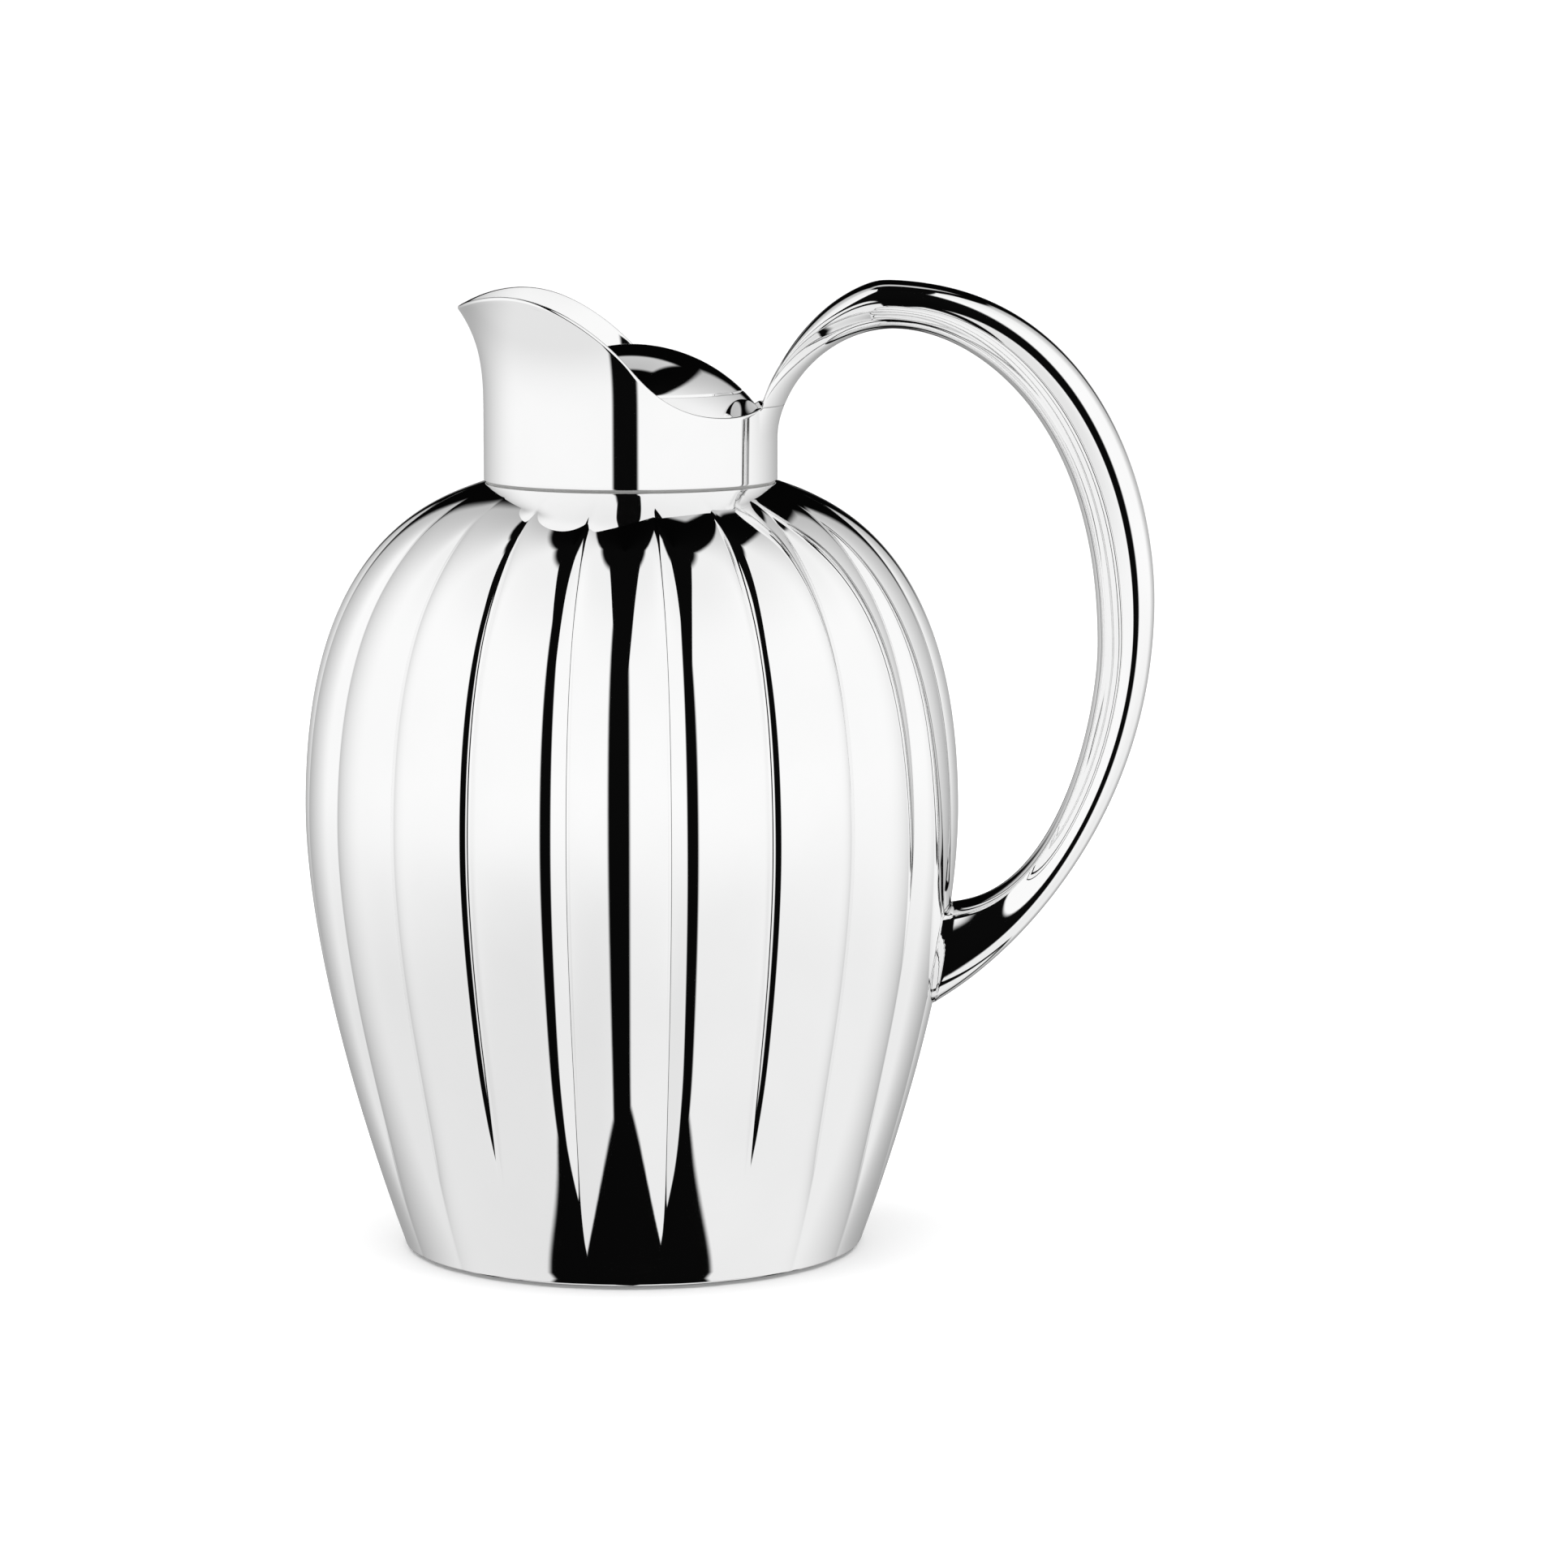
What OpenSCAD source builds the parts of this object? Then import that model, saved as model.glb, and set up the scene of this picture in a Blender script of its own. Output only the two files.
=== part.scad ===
// Lidded insulated serving jug: fluted steel body, collar with pouring lip,
// looped handle, vacuum flask inside and a push-button pouring stopper.
// Millimetres. The jug stands on z = 0, the spout points to -X, the handle to +X.

/* [Body] */
// Radius over the crests of the flutes at the widest point
body_r = 77.5; // [76:0.5:79]
// Height of the widest point
belly_z = 105; // [102:1:108]
// Radius of the body at its foot
foot_r = 54.5; // [54:0.5:56]
// Number of flutes around the body
flutes = 20; // [20:4:24]
// Depth of the grooves between the flutes at the widest point
flute_depth = 2.8; // [1:0.2:2.8]
// Thickness of the body wall
body_wall = 1; // [0.8:0.1:1.4]

/* [Collar and spout] */
// Outer radius of the collar
collar_r = 34.5; // [34.3:0.1:34.7]
// Wall of the collar
collar_wall = 1.2; // [1:0.1:1.3]
// How far the lip flares out at the tip of the spout
lip_flare = 6.1; // [3:0.5:7]

/* [Handle] */
// Half the width of the grip
grip_half = 9.5; // [8:0.5:10.5]
// Half the width where the handle leaves the collar
root_half = 16; // [14:0.5:17]

/* [Flask] */
// Bore of the flask neck, which the stopper's lip seal runs in
mouth_r = 22.5; // [22.5:0.1:22.8]
// Outer radius of the flask
flask_r = 48.5; // [46:0.5:48.5]

/* [Stopper] */
// Radius of the lip seal
seal_r = 22.42; // [21.8:0.02:22.42]
// Radius of the domed push button
button_r = 26.2; // [25:0.1:26.2]

/* [Hidden] */

steps = 12;

// Heights of the main levels
lip_z = 0.8;
shoulder_z = 182;
collar_z = 182.4;
root_z = 200;
flask_z = 8.2;
mouth_z = 186.5;

// The crest of a flute from the foot to the shoulder, as radius and height
crest_curves = [
    [[foot_r, lip_z], [foot_r + 15.8, 43], [body_r, belly_z - 24], [body_r, belly_z]],
    [[body_r, belly_z], [body_r, belly_z + 46.3], [collar_r + 26.5, 175], [collar_r, shoulder_z]]
];
// Share of the full depth at each height: the flutes fade out at foot and shoulder
flute_fade = [[0, 0.1], [8, 0.13], [16, 0.27], [25, 0.52], [35, 0.8], [50, 1], [155, 1], [164, 1.1], [171, 0.95],
    [176, 0.6], [180, 0.2], [181.9, 0]];

// Edge of the lip seen from the side, from the spout's tip to the low point before the handle
lip_curves = [
    [[-40.6, 223], [-37, 224.9], [-33, 226], [-28, 226]],
    [[-28, 226], [-15.4, 226], [-3.3, 215.4], [0.6, 210.9]],
    [[0.6, 210.9], [4.5, 206.4], [11, 198.4], [24, 198.4]],
    [[24, 198.4], [27, 198.4], [30, 199.2], [31, root_z]]
];

// The handle's loop seen from the side: its outer edge and its inner edge
root_x = sqrt(pow(collar_r, 2) - pow(root_half, 2));
root_angle = asin(root_half / collar_r);
root_swell = 1.7;
loop_foot_z = [57.8, 81.7];
loop_outer = [
    [[root_x, root_z], [33.6, 216.6], [51.8, 229.3], [60, 229.3]],
    [[60, 229.3], [106.6, 229.3], [123.5, 184.8], [123.5, 152.8]],
    [[123.5, 152.8], [123.5, 101.8], [89.9, 68.4], [71.7, loop_foot_z[0]]]
];
loop_inner = [
    [[collar_r + root_swell, root_z], [39.5, 208.5], [49, 217.9], [62.1, 217.9]],
    [[62.1, 217.9], [80.3, 217.9], [110.2, 197.1], [110.2, 143.9]],
    [[110.2, 143.9], [110.2, 125.9], [101.2, 82.4], [75.8, loop_foot_z[1]]]
];
// Along the loop (0 root, 1 top, 2 right, 3 foot): half width, place of the crease between
// the inner and outer face, hollow of the outer face, and how square the outer face is
// and how pointed the inner one
loop_half = [[0, root_half], [0.15, 13], [0.3, 11.2], [0.6, 9.8], [1, grip_half], [3, grip_half - 0.5]];
loop_crease = [[0, 0.9], [0.15, 0.65], [0.3, 0.46], [0.6, 0.3], [1, 0.21], [2, 0.13], [3, 0.12]];
loop_hollow = [[0, 2.7], [0.15, 1.8], [0.3, 1], [0.6, 0.2], [1, 0]];
loop_square = [[0, 0.35], [0.3, 0.5], [0.6, 0.8], [1, 1]];
loop_point_in = [[0, 2], [0.3, 1.5], [0.6, 1.1], [1, 1]];
// Half width at the crease as a share of the greatest, and how square the outer face is
loop_waist = [[0, 1], [0.15, 0.9], [0.3, 0.75], [0.6, 0.6], [1, 0.55], [2.3, 0.55], [2.7, 0.8], [3, 1]];
loop_flat = [[0, 2], [0.3, 2.5], [0.6, 5], [1, 12], [2.6, 12], [3, 6]];

// Parts of the stopper
dome_z = 176.6;
dome_r = 37.55;
plate_z = 192.5;
plate_t = 2.2;
seat_z = 160;
core_z = 202;
screw_z = [66, 76];

// One point on a cubic curve, and the points along a chain of cubic curves
function cubic(p, t) = pow(1 - t, 3) * p[0] + 3 * pow(1 - t, 2) * t * p[1]
    + 3 * (1 - t) * t * t * p[2] + pow(t, 3) * p[3];
function chain(curves, n) = concat(
    [for (c = curves) for (i = [0:n - 1]) cubic(c, i / n)], [cubic(curves[len(curves) - 1], 1)]);

// Faces between rings of n points, with a flat fan over each end
function tube_faces(rings, n) = concat(
    [[for (i = [0:n - 1]) i]],
    [for (j = [0:rings - 2]) for (i = [0:n - 1])
        each [[j * n + i, (j + 1) * n + i, j * n + (i + 1) % n],
              [j * n + (i + 1) % n, (j + 1) * n + i, (j + 1) * n + (i + 1) % n]]],
    [[for (i = [n - 1:-1:0]) (rings - 1) * n + i]]);

// Faces of a closed loop of rings, such as a wall with an outside and an inside
function loop_faces(rings, n) = [for (j = [0:rings - 1]) for (i = [0:n - 1])
    let(k = (j + 1) % rings, m = (i + 1) % n)
    each [[j * n + i, k * n + i, j * n + m], [j * n + m, k * n + i, k * n + m]]];

function reversed(list) = [for (i = [len(list) - 1:-1:0]) list[i]];

// ---- Fluted body ----

crest = chain(crest_curves, steps);
crest_by_z = [for (p = crest) [p[1], p[0]]];
pitch = 360 / flutes;

// Radius at an angle of a fluted outline: crest radius p, lobes that are nearly flat over the
// middle and turn down to a groove of that depth at both edges
function flute_radius(p, deep, a) = let(
    off = (a % pitch + pitch * 3 / 2) % pitch - pitch / 2,
    w = abs(off) / pitch * 2
) p - deep * (0.56 * pow(w, 2) + 0.44 * pow(w, 6));

function depth_at(p, z) = flute_depth * p / body_r * lookup(z, flute_fade);

// Where the crest that faces the handle has its surface
function flute_x(y, z) = let(
    p = lookup(z, crest_by_z),
    r = flute_radius(p, depth_at(p, z), asin(y / p))
) sqrt(r * r - y * y);

// One level of the fluted wall, set in by d along the wall's normal: radius, depth, height
function wall_level(curve, t, d) = let(
    p = cubic(curve, t),
    q = cubic(curve, t + 0.01) - cubic(curve, t - 0.01),
    n = q / norm(q)
) [p[0] - d * n[1], depth_at(p[0], p[1]), p[1] + d * n[0]];

function wall_levels(n, d) = [for (curve = crest_curves) for (i = [0:n]) if (i < n || curve == crest_curves[1])
    wall_level(curve, i / n, d)];

// The wall as levels: up the outside, over the edge of the neck, down the inside, and
// round the lip that is rolled in at the foot
neck_r = 31;
base_r = foot_r - 4;
wall_rings = concat(
    wall_levels(11, 0),
    [[neck_r, 0, shoulder_z], [neck_r, 0, shoulder_z - body_wall]],
    [for (v = reversed(wall_levels(7, body_wall))) if (v[2] > lip_z + body_wall + 2) v],
    let(v = wall_level(crest_curves[0], 0.02, body_wall))
        [[v[0], v[1], lip_z + body_wall], [base_r, 0, lip_z + body_wall], [base_r, 0, lip_z]]);

module body_shell() {
    around = flutes * 6;
    color("silver")
    difference() {
        polyhedron(
            [for (v = wall_rings) for (i = [0:around - 1])
                let(a = i * 360 / around, r = flute_radius(v[0], v[1], a)) [r * cos(a), r * sin(a), v[2]]],
            loop_faces(len(wall_rings), around), convexity = 8);
        for (z = screw_z) translate([60, 0, z]) rotate([0, 90, 0]) cylinder(r = 2.2, h = 20, $fn = 24);
    }
}

// ---- Collar with its lip ----

lip = chain(lip_curves, steps);

// Outside radius of the collar at an angle from the handle and a height: the lip flares
// towards the spout, and the wall swells under the handle's root
function flare(a, z) = lip_flare * pow(max(0, z - 198) / 25, 3) * pow(sin(a / 2), 2);
function swell(a, z) = let(away = min(a, 360 - a))
    away > root_angle ? 0 : root_swell * pow(max(0, z - 192) / 8, 2) * (1 - pow(away / root_angle, 2));
function collar_radius(a, z) = collar_r + flare(a, z) + swell(a, z);

// Height of the lip, found from the side view by closing in on the radius at that height
function lip_at(a, z, n) = n == 0 ? z
    : lip_at(a, lookup(collar_radius(a, z) * cos(a), lip), n - 1);
function lip_height(a) = lip_at(a, 212, 8);

module collar_spout() {
    around = 72;
    rows = 12;
    outside = [for (j = [0:rows]) for (i = [0:around - 1])
        let(a = i * 5, z = collar_z + (lip_height(a) - collar_z) * j / rows, r = collar_radius(a, z))
        [r * cos(a), r * sin(a), z]];
    inside = [for (j = [rows:-1:0]) for (i = [0:around - 1])
        let(a = i * 5, z = collar_z + (lip_height(a) - collar_z) * j / rows,
            r = collar_r + flare(a, z) - collar_wall)
        [r * cos(a), r * sin(a), z]];
    color("gainsboro")
    polyhedron(concat(outside, inside), loop_faces(2 * rows + 2, around), convexity = 6);
}

// Soft seal in the seam between collar and body
module neck_gasket() {
    color("dimgray")
    translate([0, 0, shoulder_z])
    difference() {
        cylinder(r = collar_r - 0.5, h = collar_z - shoulder_z, $fn = 96);
        translate([0, 0, -1]) cylinder(r = 31, h = 3, $fn = 96);
    }
}

// Threaded sleeve of the collar, which reaches through the neck of the body
module neck_sleeve() {
    color("darkgray")
    difference() {
        union() {
            translate([0, 0, collar_z]) cylinder(r = collar_r - collar_wall - 0.1, h = 1.6, $fn = 96);
            translate([0, 0, 172.5]) cylinder(r = 30.5, h = 10.5, $fn = 96);
        }
        translate([0, 0, 170]) cylinder(r = 28, h = 20, $fn = 96);
    }
}

module clamp_washer() {
    color("gray")
    translate([0, 0, 179.8])
    difference() {
        cylinder(r = 35, h = 0.9, $fn = 96);
        translate([0, 0, -1]) cylinder(r = 30.7, h = 3, $fn = 96);
    }
}

module collar_nut() {
    color("dimgray")
    difference() {
        translate([0, 0, 175.5]) cylinder(r = 35, h = 4.3, $fn = 96);
        translate([0, 0, 170]) cylinder(r = 30.55, h = 20, $fn = 96);
        for (a = [0:60:300])
            rotate([0, 0, a]) translate([36.2, 0, 170]) cylinder(r = 2.4, h = 12, $fn = 24);
    }
}

// ---- Handle ----

function loop_point(curves, t) = let(i = min(2, floor(t))) cubic(curves[i], t - i);

// Half width at a share u of the way out from the crease
function loop_side(u, k, n) = (k + (1 - k) * (1 - pow(1 - min(u / 0.6, 1), 2))) * sqrt(1 - pow(u, n));

// One ring of the handle: a flat outer face, flanks that lean in towards the crease, and a
// shallow inner face
arc = 12;
function loop_ring(t) = let(
    outer = loop_point(loop_outer, t),
    inner = loop_point(loop_inner, t),
    deep = norm(outer - inner),
    up = (outer - inner) / deep,
    c = lookup(t, loop_crease),
    w = lookup(t, loop_half),
    k = lookup(t, loop_waist),
    n = lookup(t, loop_flat)
) concat(
    [for (i = [0:arc]) let(f = 180 * i / arc,
        h = c * deep + (1 - c) * deep * pow(sin(f), lookup(t, loop_square)) - lookup(t, loop_hollow) * pow(sin(f), 2),
        p = inner + up * h) [p[0], w * sign(cos(f)) * loop_side(sin(f), k, n), p[1]]],
    [for (i = [1:arc - 1]) let(f = 180 + 180 * i / arc,
        p = inner + up * c * deep * (1 - pow(-sin(f), lookup(t, loop_point_in)))) [p[0], w * k * cos(f), p[1]]]);

// The last ring lies on the flute that faces the handle
foot_ring_points = [for (p = loop_ring(3)) [flute_x(p[1], p[2]) + 0.02, p[1], p[2]]];

module handle() {
    n = 2 * arc;
    rings = 3 * steps + 1;
    points = concat([for (j = [0:rings - 2]) each loop_ring(3 * j / (rings - 1))], foot_ring_points);
    last = (rings - 1) * n;
    // Strips across each end, between the outer and the inner points of equal width
    function strip(s, flip) = [for (i = [0:arc - 1])
        let(a = s + i, b = s + i + 1, c = s + (i == arc - 1 ? arc : n - 1 - i), d = s + (i == 0 ? 0 : n - i))
        each flip ? [[a, b, c], [a, c, d]] : [[a, c, b], [a, d, c]]];
    faces = concat(
        [for (f = strip(0, true)) if (f[0] != f[1] && f[1] != f[2] && f[2] != f[0]) f],
        [for (j = [0:rings - 2]) for (i = [0:n - 1])
            each [[j * n + i, (j + 1) * n + i, j * n + (i + 1) % n],
                  [j * n + (i + 1) % n, (j + 1) * n + i, (j + 1) * n + (i + 1) % n]]],
        [for (f = strip(last, false)) if (f[0] != f[1] && f[1] != f[2] && f[2] != f[0]) f]);
    color("gainsboro")
    difference() {
        polyhedron(points, faces, convexity = 6);
        for (z = screw_z) translate([60, 0, z]) rotate([0, 90, 0]) cylinder(r = 2, h = 19.5, $fn = 24);
    }
}

// Two screws from inside the body into the foot of the handle
module handle_screws() {
    color("silver")
    for (z = screw_z)
        translate([68.2, 0, z]) rotate([0, 90, 0]) {
            cylinder(r = 1.98, h = 11, $fn = 24);
            translate([0, 0, -2]) cylinder(r = 3.5, h = 2.2, $fn = 24);
        }
}

module handle_washers() {
    color("gray")
    for (z = screw_z)
        translate([68.4, 0, z]) rotate([0, 90, 0])
        difference() {
            cylinder(r = 4.6, h = 0.9, $fn = 32);
            translate([0, 0, -1]) cylinder(r = 2.1, h = 3, $fn = 24);
        }
}

// ---- Vacuum flask ----

flask_wall = 0.6;

// Shoulder of a bottle from body radius rb to neck radius rn
function shoulder(rb, rn) = chain([[[rb, 144], [rb, 158], [rn, 154], [rn, 168]]], 8);

// Rounded foot of a bottle with its floor at z0
function rounded_foot(rb, z0, r) = [for (i = [0:6])
    [rb - r + r * sin(15 * i), z0 + r - r * cos(15 * i)]];

// Inner wall, open at the mouth, with the lip that both walls share
module flask_inner() {
    rb = flask_r - 3.5;
    z0 = flask_z + 3.8;
    color("lightsteelblue")
    rotate_extrude($fn = 96)
        polygon(concat(
            [[0, z0]], rounded_foot(rb, z0, 8), shoulder(rb, mouth_r + flask_wall),
            [[mouth_r + flask_wall, mouth_z - flask_wall], [27.4, mouth_z - flask_wall],
             [27.4, mouth_z], [mouth_r, mouth_z]],
            reversed(shoulder(rb - flask_wall, mouth_r)),
            reversed(rounded_foot(rb - flask_wall, z0 + flask_wall, 8 - flask_wall)),
            [[0, z0 + flask_wall]]));
}

// Outer wall, open at the foot
module flask_outer() {
    z0 = flask_z + 1.3;
    color("slategray")
    rotate_extrude($fn = 96)
        polygon(concat(
            [[flask_r, z0]], shoulder(flask_r, 27.4), [[27.4, mouth_z - flask_wall]],
            [[27.4 - flask_wall, mouth_z - flask_wall]], reversed(shoulder(flask_r - flask_wall, 27.4 - flask_wall)),
            [[flask_r - flask_wall, z0]]));
}

module flask_base() {
    color("lightslategray")
    translate([0, 0, flask_z])
    difference() {
        cylinder(r = flask_r - 0.62, h = 4.8, $fn = 96);
        translate([0, 0, 0.8]) cylinder(r = flask_r - 1.3, h = 5, $fn = 96);
    }
}

// Cap over the getter and the evacuation hole, in the vacuum gap
module getter_cap() {
    color("goldenrod") translate([0, 0, flask_z + 0.8]) cylinder(r = 8, h = 1.4, $fn = 48);
}

module neck_spacer() {
    color("darkslategray")
    translate([0, 0, 168.2])
    difference() {
        cylinder(r = 32, h = 4.3, $fn = 96);
        translate([0, 0, -1]) cylinder(r = 27.42, h = 8, $fn = 96);
    }
}

module flask_cushion() {
    color("darkslategray")
    translate([0, 0, 2.4])
    difference() {
        cylinder(r = 44, h = flask_z - 2.4, $fn = 96);
        translate([0, 0, -1]) cylinder(r = 30, h = 8, $fn = 96);
    }
}

// Ring that covers the flask's mouth and slopes down to the inside of the collar
module pour_ring() {
    r0 = mouth_r;
    r1 = collar_r - collar_wall - 0.15;
    color("whitesmoke")
    rotate_extrude($fn = 96)
        polygon([[r0, mouth_z + 0.4], [27.6, mouth_z + 0.4], [27.6, collar_z + 1.6], [r1, collar_z + 1.6],
                 [r1, 185.4], [27.4, 187.2], [26.6, 187.9], [r0 + 0.5, 187.9], [r0, 187.4]]);
}

module mouth_seal() {
    color("gray")
    translate([0, 0, mouth_z])
    difference() {
        cylinder(r = 27.2, h = 0.4, $fn = 96);
        translate([0, 0, -1]) cylinder(r = 23.2, h = 3, $fn = 96);
    }
}

// ---- Base ----

module base_plate() {
    color("darkgray")
    difference() {
        union() {
            translate([0, 0, 1.2]) cylinder(r = foot_r - 4.3, h = 0.75, $fn = 120);
            translate([0, 0, 1.95]) cylinder(r = foot_r - 4.55, h = 4.25, $fn = 120);
        }
        translate([0, 0, 2.4]) cylinder(r = foot_r - 5.6, h = 5, $fn = 120);
        difference() {
            cylinder(r = 47, h = 1.8, $fn = 120);
            translate([0, 0, -1]) cylinder(r = 44.5, h = 4, $fn = 120);
        }
        for (a = [0:120:240])
            rotate([0, 0, a]) translate([24, 0, 0]) cylinder(r = 3, h = 1.8, $fn = 24);
    }
}

module base_ring() {
    color("dimgray")
    translate([0, 0, lip_z + 1.2])
    difference() {
        cylinder(r = foot_r - 1.7, h = 4, $fn = 120);
        translate([0, 0, -1]) cylinder(r = foot_r - 4.4, h = 6, $fn = 120);
    }
}

module foot_ring() {
    color("black")
    difference() {
        cylinder(r = 47, h = 1.8, $fn = 120);
        translate([0, 0, -1]) cylinder(r = 44.5, h = 4, $fn = 120);
    }
}

// ---- Stopper ----

// Plug with the valve seat at its foot and the pouring ports under its top plate
module stopper_body() {
    color("white")
    difference() {
        union() {
            translate([0, 0, seat_z]) cylinder(r = 20.8, h = plate_z - seat_z, $fn = 96);
            translate([0, 0, 188.1]) cylinder(r = 24.5, h = 0.8, $fn = 96);
            translate([0, 0, plate_z]) cylinder(r = 30.4, h = 4.1, $fn = 96);
        }
        difference() {
            translate([0, 0, seat_z + 2.5]) cylinder(r = 17.6, h = plate_z - seat_z - 2.5, $fn = 96);
            translate([0, 0, 182]) cylinder(r = 6.5, h = 20, $fn = 48);
        }
        translate([0, 0, seat_z - 1]) cylinder(r = 13.5, h = 6, $fn = 96);
        translate([0, 0, 170]) cylinder(r = 3.08, h = 40, $fn = 48);
        for (a = [0:60:300])
            rotate([0, 0, a]) translate([19, 0, 190.6]) cube([12, 13, 3.2], center = true);
        difference() {
            translate([0, 0, plate_z + plate_t]) cylinder(r = 29, h = 5, $fn = 96);
            translate([0, 0, plate_z]) cylinder(r = 26.4, h = 4.1, $fn = 96);
        }
        translate([0, 0, plate_z + plate_t]) cylinder(r = 25, h = 5, $fn = 96);
    }
}

// Silicone sleeve with two lips that seals the plug in the flask neck
module stopper_lip_seal() {
    color("lightgray")
    rotate_extrude($fn = 96)
        polygon([[20.8, 171], [21.3, 171], [21.5, 172.2], [seal_r, 173], [seal_r, 173.4], [21.5, 174],
                 [21.5, 176.4], [seal_r, 177.2], [seal_r, 177.6], [21.5, 178.2], [21.3, 180], [20.8, 180]]);
}

// Steel trim around the push button, part of the same dome, with a rolled edge
module stopper_ring() {
    function dome(r, x) = dome_z + sqrt(r * r - x * x);
    color("gainsboro")
    rotate_extrude($fn = 120)
        polygon(concat(
            [for (x = [26.6:0.6:31.4]) [x, dome(dome_r, x)]],
            [[31.9, 197], [32, 196.6], [31.9, 196.2], [31.6, 196], [30.5, 196]],
            [for (x = [30.5:-0.78:26.6]) [x, dome(dome_r - 1, x)]]));
}

// ---- Push button, stem and valve: these move together ----

module button_dome() {
    color("gainsboro")
    intersection() {
        difference() {
            translate([0, 0, dome_z]) sphere(r = dome_r, $fn = 120);
            translate([0, 0, dome_z]) sphere(r = dome_r - 1, $fn = 120);
        }
        translate([0, 0, 200]) cylinder(r = button_r, h = 20, $fn = 120);
    }
}

module button_core() {
    color("white")
    difference() {
        union() {
            translate([0, 0, core_z - 2.8]) cylinder(r = 24.6, h = 4.3, $fn = 96);
            translate([0, 0, core_z]) cylinder(r = 7, h = 10.4, $fn = 48);
        }
        translate([0, 0, core_z - 3.8]) cylinder(r = 22.8, h = 3.8, $fn = 96);
        translate([0, 0, core_z - 1]) cylinder(r = 3, h = 8, $fn = 48);
    }
}

module stem() {
    color("silver") translate([0, 0, seat_z - 5.6]) cylinder(r = 3, h = 54, $fn = 48);
}

module valve_disc() {
    color("whitesmoke")
    translate([0, 0, seat_z - 3])
    difference() {
        cylinder(r = 16.5, h = 2, $fn = 96);
        translate([0, 0, -1]) cylinder(r = 3.02, h = 4, $fn = 48);
    }
}

module valve_seal() {
    color("gray")
    translate([0, 0, seat_z - 1])
    difference() {
        cylinder(r = 16.5, h = 0.95, $fn = 96);
        translate([0, 0, -1]) cylinder(r = 12.5, h = 3, $fn = 96);
    }
}

module stem_nut() {
    color("silver")
    translate([0, 0, seat_z - 5.4])
    difference() {
        cylinder(r = 5.5, h = 2.4, $fn = 6);
        translate([0, 0, -1]) cylinder(r = 3.02, h = 5, $fn = 48);
    }
}

// Coil between the stopper's plate and the button's core
module return_spring() {
    wire = 0.45;
    coil_r = 11;
    turns = 4;
    sides = 8;
    per_turn = 20;
    low = plate_z + plate_t + wire + 0.05;
    high = core_z - wire - 0.05;
    rings = turns * per_turn + 1;
    // The end turns lie flat, and the turns between them climb
    function climb(n) = low + (high - low) * lookup(n, [[0, 0], [0.75, 0.1], [turns - 0.75, 0.9], [turns, 1]]);
    points = [for (j = [0:rings - 1]) for (i = [0:sides - 1])
        let(n = j / per_turn, a = 360 * n, b = -360 * i / sides, r = coil_r + wire * cos(b))
        [r * cos(a), r * sin(a), climb(n) + wire * sin(b)]];
    color("silver") polyhedron(points, tube_faces(rings, sides), convexity = 10);
}

body_shell();
neck_gasket();
collar_spout();
neck_sleeve();
clamp_washer();
collar_nut();
handle();
handle_screws();
handle_washers();
flask_inner();
flask_outer();
flask_base();
getter_cap();
neck_spacer();
flask_cushion();
pour_ring();
mouth_seal();
base_plate();
base_ring();
foot_ring();
stopper_body();
stopper_lip_seal();
stopper_ring();
button_dome();
button_core();
stem();
valve_disc();
valve_seal();
stem_nut();
return_spring();
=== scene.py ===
"""Looks of the insulated serving jug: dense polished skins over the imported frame, and a soft studio."""
from math import radians

import bpy
import numpy as np
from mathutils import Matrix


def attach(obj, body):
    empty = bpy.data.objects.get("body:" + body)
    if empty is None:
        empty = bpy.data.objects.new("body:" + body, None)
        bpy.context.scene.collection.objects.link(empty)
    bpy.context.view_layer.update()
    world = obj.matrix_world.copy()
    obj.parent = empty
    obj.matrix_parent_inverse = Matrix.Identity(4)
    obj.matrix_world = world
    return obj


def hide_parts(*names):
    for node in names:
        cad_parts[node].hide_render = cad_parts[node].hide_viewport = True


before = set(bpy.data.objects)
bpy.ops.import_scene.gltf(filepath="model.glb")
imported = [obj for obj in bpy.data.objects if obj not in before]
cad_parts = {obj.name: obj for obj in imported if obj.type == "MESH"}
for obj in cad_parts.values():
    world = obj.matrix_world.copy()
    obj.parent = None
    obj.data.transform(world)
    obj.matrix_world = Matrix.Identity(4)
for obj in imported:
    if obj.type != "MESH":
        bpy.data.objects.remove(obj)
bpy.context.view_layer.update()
MM = 0.001

# ---- Camera: a little above the jug and looking slightly down, well back, with a long lens ----

camera = bpy.data.objects.new("camera", bpy.data.cameras.new("camera"))
camera.data.lens = 122.07
camera.data.sensor_width = 36
camera.location = (0.0502, -1.249, 0.277)
camera.rotation_euler = (radians(90 - 7.61), 0, radians(0.648))
bpy.context.scene.collection.objects.link(camera)
bpy.context.scene.camera = camera

# ---- The same outlines as the part, in millimetres ----

# Each row of CREST, LIP and the LOOP lines is one cubic curve: four control points, each a radius
# or x and a height. FADE is the share of the full flute depth at each height.
FOOT_R, BODY_R, COLLAR_R, COLLAR_WALL = 54.5, 77.5, 34.5, 1.2
FLUTES, FLUTE_DEPTH, BODY_WALL = 20, 2.8, 1.0
LIP_Z, SHOULDER_Z, COLLAR_Z, NECK_R = 0.8, 182, 182.4, 31
LIP_FLARE, FLARE_Z, FLARE_RISE = 6.1, 198, 25
ROOT_HALF, ROOT_SWELL, SWELL_Z, SWELL_RISE = 16, 1.7, 192, 8
CREST = [[[54.5, 0.8], [70.3, 43], [77.5, 81], [77.5, 105]],
         [[77.5, 105], [77.5, 151.3], [61, 175], [34.5, 182]]]
FADE = [[0, .1], [8, .13], [16, .27], [25, .52], [35, .8], [50, 1], [155, 1], [164, 1.1], [171, .95],
        [176, .6], [180, .2], [181.9, 0]]
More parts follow.
